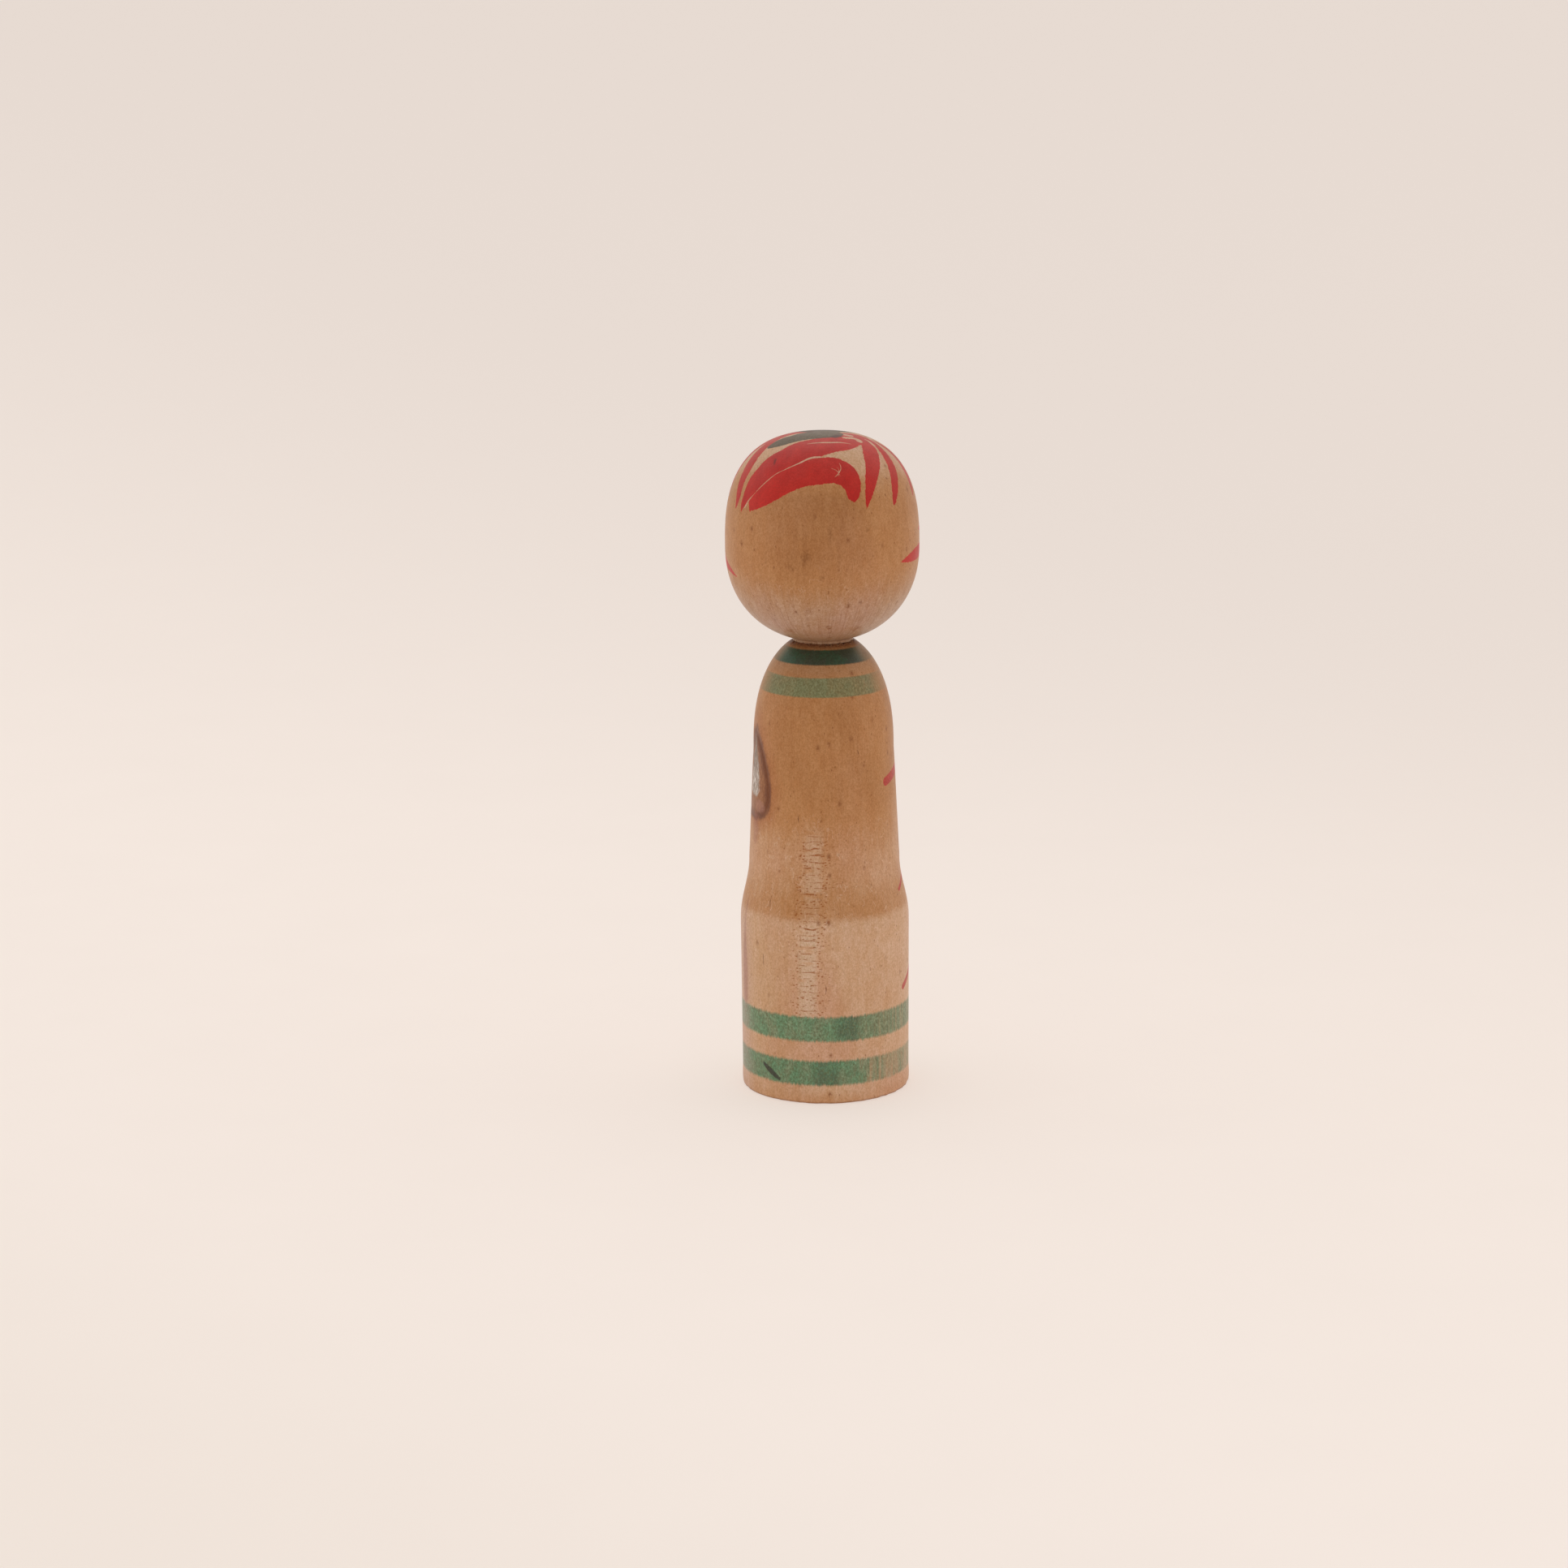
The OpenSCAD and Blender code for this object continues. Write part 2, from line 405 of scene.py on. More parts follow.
# Thin marks on the body: short dark fibres, nicks in the surface, and a long reddish streak.
FIBRES = [
    [(-143.2, 76, 0.05), (-142.8, 74, 0.17), (-143.4, 72, 0.05)],
    [(-138.5, 55, 0.05), (-138.4, 52, 0.16), (-138.6, 50, 0.05)],
    [(174.6, 45.5, 0.05), (174.4, 43.5, 0.18), (174.7, 41.5, 0.05)],
    [(-164.5, 107, 0.1), (-164.7, 105.5, 0.2), (-165, 104.4, 0.1)],
    [(146.6, 130.4, 0.1), (145.8, 129.3, 0.18), (145.4, 128.6, 0.1)],
    [(113.4, 46.6, 0.05), (113, 45, 0.16), (112.6, 43.8, 0.05)],
]
STREAK = [[(-116, 72, 0.5), (-114.5, 62, 1), (-113.5, 53, 2.2), (-113.5, 44, 2.9), (-113.5, 35, 2.4)]]
# The knot's bearing and the body's radius there, and the bearing of the ladder of rays at some heights.
KNOT_AZIMUTH, KNOT_R = -112, 26.6
LADDER_Z, LADDER_AZIMUTH = (30, 55, 75, 100), (-172.5, -173, -175.5, -177.5)
TAIL = [[(-117, 103, 1), (-118, 99, 1.6), (-117, 95, 0.8)]]
SMEAR = [[(-138, 12.8, 0.7), (-142, 11.4, 1.05), (-145, 10.4, 1.1), (-148, 9.4, 0.95), (-151.8, 8.2, 0.5)]]


# ---------------------------------------------------------------- material building

class Nodes:
    """Builds one material's nodes by short calls. Inputs are numbers, colours or sockets."""

    def __init__(self, name):
        self.material = bpy.data.materials.new(name)
        self.material.use_nodes = True
        self.tree = self.material.node_tree
        self.shader = self.tree.nodes["Principled BSDF"]
        where = self.tree.nodes.new("ShaderNodeTexCoord").outputs["Object"]
        self.place = self.vector("MULTIPLY", where, (1 / MM, 1 / MM, 1 / MM))
        parts = self.tree.nodes.new("ShaderNodeSeparateXYZ")
        self.tree.links.new(self.place, parts.inputs[0])
        self.x, self.y, self.z = parts.outputs

    def fill(self, socket, value):
        if isinstance(value, bpy.types.NodeSocket):
            self.tree.links.new(value, socket)
        else:
            socket.default_value = value

    def math(self, operation, a, b=0.0, clamp=False):
        node = self.tree.nodes.new("ShaderNodeMath")
        node.operation, node.use_clamp = operation, clamp
        self.fill(node.inputs[0], a)
        self.fill(node.inputs[1], b)
        return node.outputs[0]

    def add(self, *values):
        total = values[0]
        for value in values[1:]:
            total = self.math("ADD", total, value)
        return total

    def times(self, *values):
        total = values[0]
        for value in values[1:]:
            total = self.math("MULTIPLY", total, value)
        return total

    def vector(self, operation, a, b):
        node = self.tree.nodes.new("ShaderNodeVectorMath")
        node.operation = operation
        self.fill(node.inputs[0], a)
        self.fill(node.inputs[1], b)
        return node.outputs[0]

    def stretched(self, x, y, z):
        """The place in the piece, squeezed along each axis."""
        return self.vector("MULTIPLY", self.place, (x, y, z))

    def noise(self, place, scale, detail=2.0, rough=0.5):
        node = self.tree.nodes.new("ShaderNodeTexNoise")
        self.fill(node.inputs["Vector"], place)
        node.inputs["Scale"].default_value = scale
        node.inputs["Detail"].default_value = detail
        node.inputs["Roughness"].default_value = rough
        return node.outputs["Fac"]

    def cells(self, place, scale, randomness=1.0):
        """Distance from the nearest of many scattered points, and a random number for each."""
        node = self.tree.nodes.new("ShaderNodeTexVoronoi")
        self.fill(node.inputs["Vector"], place)
        node.inputs["Scale"].default_value = scale
        node.inputs["Randomness"].default_value = randomness
        parts = self.tree.nodes.new("ShaderNodeSeparateColor")
        self.tree.links.new(node.outputs["Color"], parts.inputs[0])
        return node.outputs["Distance"], parts.outputs[0]

    def ramp(self, value, low, high, out_low=0.0, out_high=1.0):
        """Goes softly from out_low at low to out_high at high."""
        node = self.tree.nodes.new("ShaderNodeMapRange")
        node.interpolation_type = "SMOOTHSTEP"
        self.fill(node.inputs["Value"], value)
        for key, number in zip(("From Min", "From Max", "To Min", "To Max"), (low, high, out_low, out_high)):
            self.fill(node.inputs[key], number)
        return node.outputs[0]

    def attribute(self, name):
        node = self.tree.nodes.new("ShaderNodeAttribute")
        node.attribute_name = name
        return node.outputs["Fac"]

    def mix(self, share, a, b, blend="MIX"):
        node = self.tree.nodes.new("ShaderNodeMix")
        node.data_type, node.blend_type = "RGBA", blend
        self.fill(node.inputs["Factor"], share)
        self.fill(node.inputs["A"], a)
        self.fill(node.inputs["B"], b)
        return node.outputs["Result"]

    def length(self, vector):
        node = self.tree.nodes.new("ShaderNodeVectorMath")
        node.operation = "LENGTH"
        self.tree.links.new(vector, node.inputs[0])
        return node.outputs["Value"]

    def bump(self, height, distance, strength=1.0, normal=None):
        node = self.tree.nodes.new("ShaderNodeBump")
        node.inputs["Strength"].default_value = strength
        node.inputs["Distance"].default_value = distance * MM
        self.fill(node.inputs["Height"], height)
        if normal is not None:
            self.tree.links.new(normal, node.inputs["Normal"])
        return node.outputs[0]

    def facing(self, azimuth):
        """1 where the surface looks along that azimuth, -1 on the far side."""
        a = math.radians(azimuth)
        flat = self.vector("NORMALIZE", self.vector("MULTIPLY", self.place, (1, 1, 0)), (0, 0, 0))
        node = self.tree.nodes.new("ShaderNodeVectorMath")
        node.operation = "DOT_PRODUCT"
        self.tree.links.new(flat, node.inputs[0])
        node.inputs[1].default_value = (-math.sin(a), -math.cos(a), 0)
        return node.outputs["Value"]


def tint(red, green, blue):
    """A screen colour, 0 to 255, as the linear colour that a shader takes."""
    scaled = (v / 255 for v in (red, green, blue))
    return tuple(v / 12.92 if v <= 0.04045 else ((v + 0.055) / 1.055) ** 2.4 for v in scaled) + (1,)


WOOD_DARK = tint(156, 99, 50)
WOOD_TAN = tint(190, 133, 81)
WOOD_PALE = tint(213, 171, 135)
WOOD_ROSY = tint(204, 150, 120)
SPOT = tint(134, 74, 28)
SPECK = tint(110, 60, 26)
PIN = tint(158, 88, 34)
SCRATCH = tint(222, 186, 158)
PITH = (75, 9)


def wood(g, patina_and_painted_light, cloudy):
    """Colour, height and mottle of wood with its grain upright. Its patina share is 0 where handling has
    worn the wood pale; callers also add painted highlight and painted shade to that share.
    """
    clouds = g.noise(g.stretched(1, 1, 0.5), 0.06, 3)
    streaks = g.noise(g.stretched(1, 1, 0.06), 0.9, 3, 0.6)
    threads = g.noise(g.stretched(1, 1, 0.1), 3.2, 2, 0.6)
    mottle = g.noise(g.stretched(1, 1, 0.75), 1.3, 3, 0.65)
    from_pith = g.vector("ADD", g.stretched(1, 1, 0), (-PITH[0], -PITH[1], 0))
    waver = g.noise(g.stretched(1, 1, 0.12), 0.12, 2)
    year = g.math("SINE", g.times(g.add(g.length(from_pith), g.times(waver, 5.0)), 2.1))
    depth = g.add(
        g.times(clouds, cloudy), g.times(streaks, 0.45), g.times(threads, 0.25), g.times(year, 0.03),
        -0.35 - cloudy / 2,
    )
    share = g.add(patina_and_painted_light, g.times(depth, 0.9))
    colour = g.mix(g.ramp(share, -0.15, 0.75), WOOD_PALE, WOOD_TAN)
    colour = g.mix(g.ramp(share, 0.6, 1.6), colour, WOOD_DARK)
    rosy = g.ramp(g.noise(g.stretched(1, 1, 0.6), 0.035, 2), 0.42, 0.66)
    colour = g.mix(g.times(rosy, g.ramp(patina_and_painted_light, 0.2, 0.7, 0.45, 0.1)), colour, WOOD_ROSY)
    blush = g.ramp(g.noise(g.vector("ADD", g.stretched(1, 1, 0.5), (0, 0, 70)), 0.3, 4, 0.7), 0.36, 0.64)
    colour = g.mix(1, colour, g.mix(blush, (0.97, 0.94, 0.89, 1), (1.03, 1.06, 1.12, 1)), "MULTIPLY")
    away, pick = g.cells(g.stretched(1, 1, 0.7), 0.26)
    reach = g.ramp(pick, 0.35, 1, 0.02, 0.34)
    spots = g.times(g.ramp(away, 0, reach, 1, 0), g.ramp(mottle, 0.37, 0.5), g.ramp(pick, 0.35, 0.5))
    colour = g.mix(g.times(spots, 0.85), colour, SPOT)
    hole, luck = g.cells(g.stretched(1, 1, 0.6), 0.8)
    holes = g.times(g.ramp(hole, 0.1, 0.28, 1, 0), g.ramp(luck, 0.86, 0.92))
    colour = g.mix(g.times(holes, 0.55), colour, SPOT)
    height = g.add(g.times(streaks, 0.5), g.times(threads, 0.35), g.times(mottle, 0.3), g.times(spots, -0.4))
    return colour, height, mottle, streaks


def scratches(g, zone):
    """Fine pale curls, 1 on the line, kept to a zone."""
    curl = g.noise(g.vector("ADD", g.stretched(1, 1, 0.7), (40, 0, 0)), 0.33, 2, 0.4)
    line = g.ramp(g.math("ABSOLUTE", g.add(curl, -0.5)), 0.004, 0.02, 1, 0)
    broken = g.ramp(g.noise(g.place, 0.25, 2), 0.48, 0.6)
    return g.times(line, broken, zone)


def finish_surface(g, colour, height, mottle):
    """Waxed and handled: a soft sheen over fine pores and the lathe's marks."""
    chatter = g.noise(g.stretched(0.02, 0.02, 1), 2.4, 2)
    pores = g.noise(g.stretched(1, 1, 0.7), 2.2, 3, 0.7)
    grain = g.ramp(g.add(g.times(mottle, 0.4), g.times(pores, 0.6)), 0.36, 0.64)
    shade = g.mix(grain, (0.88, 0.83, 0.74, 1), (1.12, 1.17, 1.27, 1))
    rough = g.add(0.34, g.times(g.noise(g.stretched(1, 1, 0.4), 0.5, 2), 0.2))
    g.fill(g.shader.inputs["Base Color"], g.mix(1, colour, shade, "MULTIPLY"))
    g.fill(g.shader.inputs["Roughness"], rough)
    g.shader.inputs["Specular IOR Level"].default_value = 0.24
    g.shader.inputs["Coat Weight"].default_value = 0.14
    g.shader.inputs["Coat Roughness"].default_value = 0.25
    coarse = g.bump(chatter, 0.05, 0.5)
    g.fill(g.shader.inputs["Normal"], g.bump(g.add(height, g.times(pores, 0.3)), 0.06, 0.6, coarse))


def line_cover(g, name, soft=0.1):
    """1 on the thin lines whose distance and half-width are held under that name."""
    inside = g.add(g.attribute(name + "_width"), g.times(g.math("ABSOLUTE", g.attribute(name)), -1))
    return g.ramp(inside, -soft, soft)


def head_material():
    g = Nodes("head_wood_painted")
    # Paler low on the head, and paler again at the top of the crown (222 to 236): that top paling is painted
    # highlight from the light above.
    low = g.add(g.ramp(g.z, SEAM + 8, SEAM + 36, 0.12, 0.74), g.ramp(g.z, 222, 236, 0, -0.7))
    # Darker down the middle of the head's back, from low on it to below the crown.
    back_middle_dark = g.times(g.ramp(g.facing(177), 0.75, 1), g.ramp(g.z, SEAM + 12, SEAM + 34))
    back_middle_dark = g.times(back_middle_dark, g.ramp(g.z, 222, 234, 0.35, 0))
    colour, height, mottle, _ = wood(g, g.add(low, back_middle_dark), 0.6)
    # Painted shade darkening the head towards the seam, where the body shades it, bluish a little above it
    # as painted reflection.
    dim = g.mix(g.ramp(g.z, SEAM + 1, SEAM + 9), (0.58, 0.58, 0.54, 1), (0.71, 0.74, 0.82, 1))
    dim = g.mix(g.ramp(g.z, SEAM + 8, SEAM + 34), dim, (1, 1, 1, 1))
    colour = g.mix(1, colour, dim, "MULTIPLY")
    around = g.vector("MULTIPLY", g.vector("NORMALIZE", g.stretched(1, 1, 0), (0, 0, 0)), (28, 28, 0))
    around = g.vector("ADD", around, g.stretched(0, 0, 0.04))
    runs = g.math("ABSOLUTE", g.add(g.noise(around, 0.7, 2), -0.5))
    runs = g.times(g.ramp(runs, 0.01, 0.05, 1, 0), g.ramp(g.z, SEAM + 8, SEAM + 32, 0.28, 0))
    colour = g.mix(runs, colour, SPOT)
    smudge = g.ramp(g.add(g.attribute("smudge"), g.times(mottle, 3)), 0.4, 2.6, 0.6, 0)
    colour = g.mix(smudge, colour, tint(136, 82, 34))
    low_back = g.times(g.ramp(g.z, SEAM + 8, SEAM + 14), g.ramp(g.z, SEAM + 26, SEAM + 36, 1, 0))
    colour = g.mix(g.times(scratches(g, low_back), 0.22), colour, SCRATCH)
    feather = g.add(g.times(g.noise(g.stretched(1, 1, 0.16), 1.1, 4, 0.7), 1.8), -0.9)
    red_edge = g.add(g.attribute("red"), g.times(feather, 0.7))
    load = g.noise(g.stretched(1, 1, 0.4), 0.28, 3)
    deep = g.add(g.times(load, 1.2), g.times(g.attribute("red_along"), 0.3), g.times(mottle, 0.5), -0.6)
    red = g.mix(g.ramp(deep, 0, 0.8), tint(200, 30, 20), tint(182, 12, 8))
    # High on the crown the red turns pinker in patches: paint worn thin there, with painted sheen of the
    # light from above.
    rubbed_and_sheen = g.times(g.ramp(g.z, 220, 234), g.ramp(g.noise(g.place, 0.1, 3, 0.6), 0.3, 0.62))
    red = g.mix(g.times(rubbed_and_sheen, 0.2), red, tint(204, 76, 66))
    bare = g.times(line_cover(g, "gap"), 0.9)
    red_cover = g.times(g.ramp(red_edge, -0.12, 0.12, 0.97, 0), g.add(1, g.times(bare, -1)))
    colour = g.mix(g.times(bare, 0.6), colour, SCRATCH)
    colour = g.mix(red_cover, colour, red)
    black_edge = g.add(g.attribute("black"), g.times(feather, 0.5))
    worn = g.ramp(g.y, -14, 2)
    thinned = g.mix(g.ramp(mottle, 0.35, 0.65), tint(54, 52, 36), tint(76, 72, 52))
    black = g.mix(worn, tint(34, 30, 28), thinned)
    black_cover = g.times(g.ramp(black_edge, -0.12, 0.12, 1, 0), g.ramp(worn, 0, 1, 0.97, 0.88))
    colour = g.mix(black_cover, colour, black)
    blot = g.ramp(g.add(g.attribute("blot"), g.times(feather, 0.6)), -0.6, 0.5, 0.8, 0)
    colour = g.mix(blot, colour, tint(66, 42, 36))
    ink = g.math("MAXIMUM", line_cover(g, "ink"), g.ramp(g.attribute("iris"), -0.1, 0.1, 1, 0))
    colour = g.mix(g.times(ink, 0.95), colour, tint(36, 31, 29))
    finish_surface(g, colour, height, mottle)
    return g.material


# The green bands: heights, how ragged the edges are, fresh and dull colour, cover, how much it thins
# on the doll's right, how it is worn away towards the two sides, and the azimuth of a dark pool.
BANDS = [
    dict(low=7.1, high=16.35, ragged=0.7, fresh=(90, 140, 102), dull=(118, 138, 104), cover=0.93,
         thin=0.36, side=None, pool=175),
    dict(low=23.7, high=32.95, ragged=0.7, fresh=(100, 144, 106), dull=(124, 140, 106), cover=0.94,
         thin=0.2, side=None, pool=160),
    dict(low=149.7, high=156.3, ragged=0.14, fresh=(124, 132, 92), dull=(134, 128, 86), cover=0.9,
         thin=0.15, side=(0.62, 1.05, 0.2), pool=None),
    # The top band's dark greens are partly its own deep dye and partly painted shade under the head.
    dict(low=160.5, high=165.3, ragged=0.16, fresh=(52, 82, 58), dull=(62, 66, 50), cover=1,
         thin=0, side=(0.62, 1.1, 0.3), pool=None),
]


def between(g, low, high, ragged, feather):
    """1 between two heights, with edges that run along the grain."""
    wobble = g.times(feather, ragged)
    soft = 0.25 + 0.6 * ragged
    lower = g.ramp(g.add(g.z, g.times(wobble, -1)), low - soft, low + soft)
    upper = g.ramp(g.add(g.z, wobble), high - soft, high + soft, 1, 0)
    return g.times(lower, upper)


def paint_bands(g, colour, mottle, streaks, feather):
    """Green dye run on while the doll turned: it pools in places and thins along the grain."""
    flush = g.noise(g.stretched(1, 1, 0.6), 0.2, 4, 0.65)
    fine = g.ramp(g.noise(g.stretched(1, 1, 0.6), 1.5, 3, 0.7), 0.38, 0.62)
    speckle = g.mix(fine, (0.76, 0.78, 0.74, 1), (1.24, 1.22, 1.26, 1))
    thinned = g.ramp(g.facing(112), 0.6, 1)
    sides = g.facing(90)
    for b in BANDS:
        wear = g.add(g.times(streaks, 0.8), g.times(thinned, b["thin"]))
        thin = g.times(g.ramp(wear, 0.5, 0.95, 1, 0.35), g.ramp(mottle, 0.28, 0.5, 0.94, 1))
        dulled = g.ramp(g.add(flush, g.times(thinned, 0.25)), 0.35, 0.7)
        green = g.mix(dulled, tint(*b["fresh"]), tint(*b["dull"]))
        if b["pool"]:
            pooled = g.times(
                g.ramp(g.facing(b["pool"]), 0.98, 0.997), g.ramp(g.add(flush, mottle), 0.75, 1.1)
            )
            green = g.mix(g.times(pooled, 0.62), green, tint(34, 84, 62))
        green = g.mix(g.ramp(mottle, 0.36, 0.64, 0.24, 0), green, tint(30, 66, 48))
        green = g.mix(1 if b["pool"] else 0.6, green, speckle, "MULTIPLY")
        cover = g.times(between(g, b["low"], b["high"], b["ragged"], feather), thin, b["cover"])
        if b["side"]:
            start, end, least = b["side"]
            faded = g.times(sides, sides)
            cover = g.times(cover, g.ramp(faded, start, end, 1, least))
            green = g.mix(g.ramp(faded, start - 0.2, end, 0, 0.6), green, tint(124, 120, 90))
        colour = g.mix(cover, colour, green)
    return colour


def ray_ladder(g, colour):
    """Pale cells with brown rungs and pin holes, where the rays meet the surface square on."""
    away = g.attribute("ladder")
    tall = g.times(g.ramp(g.z, 20, 32), g.ramp(g.z, 96, 106, 1, 0))
    # The pale cells are dimmed at the step: painted shade there.
    step_shade = g.ramp(g.math("ABSOLUTE", g.add(g.z, -71)), 3, 8, 0.3, 1)
    inside = g.times(g.ramp(g.add(away, g.times(g.noise(g.place, 0.5, 2), 2)), 2.8, 5.6, 1, 0), tall)
    cell = g.ramp(g.noise(g.stretched(0.25, 0.25, 0.9), 0.5, 2), 0.34, 0.48)
    faint = g.ramp(g.z, 62, 78, 0.62, 0.34)
    colour = g.mix(g.times(inside, step_shade, cell, faint), colour, tint(216, 188, 160))
    drift = g.noise(g.stretched(0.1, 0.1, 0.5), 1, 2)
    beat = g.math("FRACT", g.add(g.times(g.z, 0.42), g.times(drift, 1.3)))
    rung = g.ramp(g.math("ABSOLUTE", g.add(beat, -0.5)), 0.03, 0.1, 1, 0)
    broken = g.ramp(g.noise(g.vector("ADD", g.stretched(0.6, 0.6, 0.8), (0, 30, 0)), 0.8, 2), 0.41, 0.51)
    colour = g.mix(g.times(rung, broken, inside, 0.9), colour, PIN)
    hole, luck = g.cells(g.stretched(0.75, 0.75, 1.3), 1)
    flank = g.times(g.ramp(g.math("ABSOLUTE", g.add(away, -4.4)), 0.8, 2.6, 1, 0), tall)
    stray = g.times(g.ramp(luck, 0.8, 0.86), g.ramp(away, 4, 15, 0.8, 0), tall)
    lucky = g.math("MAXIMUM", g.times(g.ramp(luck, 0.3, 0.45), flank), stray)
    holes = g.times(g.ramp(hole, 0.16, 0.5, 1, 0), lucky)
    return g.mix(g.times(holes, 0.9), colour, PIN)


def paint_knot(g, colour):
    """A knot: an orange halo, a dark ring, brown wood in it, and a bare grey heart."""
    rag = g.times(g.add(g.noise(g.stretched(1, 1, 0.5), 0.6, 4, 0.7), -0.5), 0.3)
    ring = g.add(g.attribute("knot"), rag)
    heart = g.add(g.attribute("heart"), g.times(rag, 3))
    lobe = g.add(g.attribute("lobe"), g.times(rag, 1.5))
    fine = g.ramp(g.noise(g.stretched(1, 1, 0.25), 1.6, 3, 0.7), 0.4, 0.62)
    colour = g.mix(g.ramp(ring, 0.95, 1.6, 0.55, 0), colour, tint(168, 98, 50))
    brown = g.mix(fine, tint(134, 80, 44), tint(166, 110, 68))
    colour = g.mix(g.ramp(ring, 0.9, 1.08, 0.85, 0), colour, brown)
    rim = g.times(g.ramp(ring, 0.62, 0.86), g.ramp(ring, 0.94, 1.12, 1, 0))
    colour = g.mix(g.times(rim, 0.8), colour, tint(108, 54, 22))
    colour = g.mix(g.ramp(lobe, 0.5, 1, 0.6, 0), colour, tint(168, 116, 96))
    bare = g.mix(g.ramp(g.z, 117, 126, 1, 0.2), tint(140, 122, 108), tint(224, 214, 204))
    colour = g.mix(g.ramp(heart, 0.8, 1.05, 0.92, 0), colour, g.mix(fine, tint(132, 108, 92), bare))
    return g.mix(g.ramp(g.attribute("tail"), -0.5, 2.5, 0.4, 0), colour, tint(150, 84, 66))


def turned_foot(g, colour, mottle):
    """The underside: paler end grain with the lathe's rings, and grime worked in round its edge, deepened by
    painted contact shadow.
    """
    out = g.length(g.stretched(1, 1, 0))
    under = g.ramp(g.z, 0.05, 0.3, 1, 0)
    ring = g.ramp(g.math("SINE", g.add(g.times(out, 5.2), g.times(mottle, 2))), -0.2, 1)
    grain = g.mix(g.times(ring, 0.4), WOOD_TAN, WOOD_DARK)
    colour = g.mix(g.times(under, 0.8), colour, g.mix(g.ramp(mottle, 0.35, 0.6), grain, WOOD_TAN))
    # Darker round the lowest edge: grime there, with painted contact shadow.
    dirt_and_contact_shade = g.times(g.ramp(g.z, 0.1, 1.2, 0.6, 0), g.ramp(out, 24, 30, 0.15, 1))
    return g.mix(dirt_and_contact_shade, colour, SPECK)


def body_material():
    g = Nodes("body_wood_painted")
    # The ramp from 164.5 to 167 darkens the bare strip just under the head: painted shade there, with grime.
    patina_and_painted_light = g.add(
        g.ramp(g.z, 66.5, 71, 0, 0.58), g.ramp(g.z, 74, 85, 0, -0.2), g.ramp(g.z, 88, 118, 0, 0.47),
        g.ramp(g.z, 164.5, 167, 0, 1), g.ramp(g.z, 1, 7, 0.36, 0),
    )
    colour, height, mottle, streaks = wood(g, patina_and_painted_light, 0.9)
    colour = ray_ladder(g, colour)
    # Darker and a little bluer from 154 up to the neck: grime, with painted shade under the head.
    grime_and_shade = g.mix(g.ramp(g.z, 154, 159), (1, 1, 1, 1), (0.88, 0.95, 1.04, 1))
    colour = g.mix(1, colour, grime_and_shade, "MULTIPLY")
    warm = g.times(g.ramp(g.facing(-142), 0.82, 0.98, 0, 0.32), g.ramp(g.z, 60, 72, 1, 0))
    colour = g.mix(g.times(warm, g.ramp(streaks, 0.35, 0.6, 0.5, 1)), colour, tint(192, 146, 94))
    low = g.times(g.ramp(g.z, 34, 50), g.ramp(g.z, 96, 112, 1, 0))
    colour = g.mix(g.times(scratches(g, low), 0.45), colour, SCRATCH)
    feather = g.add(g.times(g.noise(g.stretched(1, 1, 0.09), 1.6, 5, 0.75), 4.4), -2.2)
    colour = paint_bands(g, colour, mottle, streaks, feather)
    # A pale lilac veil low on the doll's left side: painted reflection at that edge.
    rim_sheen = g.times(g.ramp(g.facing(-100), 0.86, 1, 0, 0.3), g.ramp(g.z, 60, 76, 1, 0))
    colour = g.mix(rim_sheen, colour, tint(190, 156, 150))
    petal_edge = g.add(g.attribute("petal"), g.times(feather, 0.08))
    petal = g.mix(g.ramp(mottle, 0.35, 0.65), tint(176, 36, 30), tint(190, 52, 44))
    colour = g.mix(g.ramp(petal_edge, -0.12, 0.12, 0.92, 0), colour, petal)
    colour = g.mix(g.ramp(g.attribute("leaf"), -0.15, 0.15, 0.88, 0), colour, tint(66, 98, 70))
    colour = g.mix(g.ramp(g.attribute("streak"), -1.4, 0.9, 0.5, 0), colour, tint(146, 78, 66))
    smear = g.ramp(g.add(g.attribute("smear"), g.times(feather, 0.12)), -0.35, 0.25, 0.85, 0)
    colour = g.mix(smear, colour, tint(56, 48, 42))
    colour = paint_knot(g, colour)
    colour = g.mix(g.times(line_cover(g, "fibre"), 0.85), colour, SPECK)
    chipped = g.mix(g.ramp(mottle, 0.45, 0.55), tint(74, 42, 26), tint(206, 166, 126))
    colour = g.mix(g.times(g.attribute("chip"), 0.8), colour, chipped)
    # Darker still just under the head's collar: painted shade with grime at the seam.
    under = g.times(g.ramp(g.z, 165.4, 166.8), g.ramp(mottle, 0.3, 0.6, 0.75, 0.3))
    colour = g.mix(under, colour, tint(82, 46, 38))
    colour = turned_foot(g, colour, mottle)
    finish_surface(g, colour, height, mottle)
    return g.material


# ---------------------------------------------------------------- the two pieces

def wrapped(angle, turn=360):
    """The angle brought to within half a turn of 0."""
    return (angle + turn / 2) % turn - turn / 2


def egg(azimuth, height, middle, up, down, half):
    """0 in the middle of an egg shape on the knot's bearing and 1 on its outline, pointed at the top."""
    across = np.abs(wrapped(azimuth - KNOT_AZIMUTH)) * math.radians(1) * KNOT_R / half
    along = np.where(height > middle, (height - middle) / up, (middle - height) / down)
    power = np.where(height > middle, 1.5, 2.5)
    return (across ** power + along ** power) ** (1 / power)


def crumble(azimuth, seeds):
    """Random depths round a rim: a few wide chips and many small ones, 0 to 1."""
    depth = np.zeros_like(azimuth)
    for _ in range(seeds):
        where, size = rng.uniform(-180, 180), rng.uniform(1, 5)
        gap = np.abs(wrapped(azimuth - where))
        depth = np.maximum(depth, rng.uniform(0.25, 1) * np.clip(1 - (gap / size) ** 2, 0, 1))
    return depth


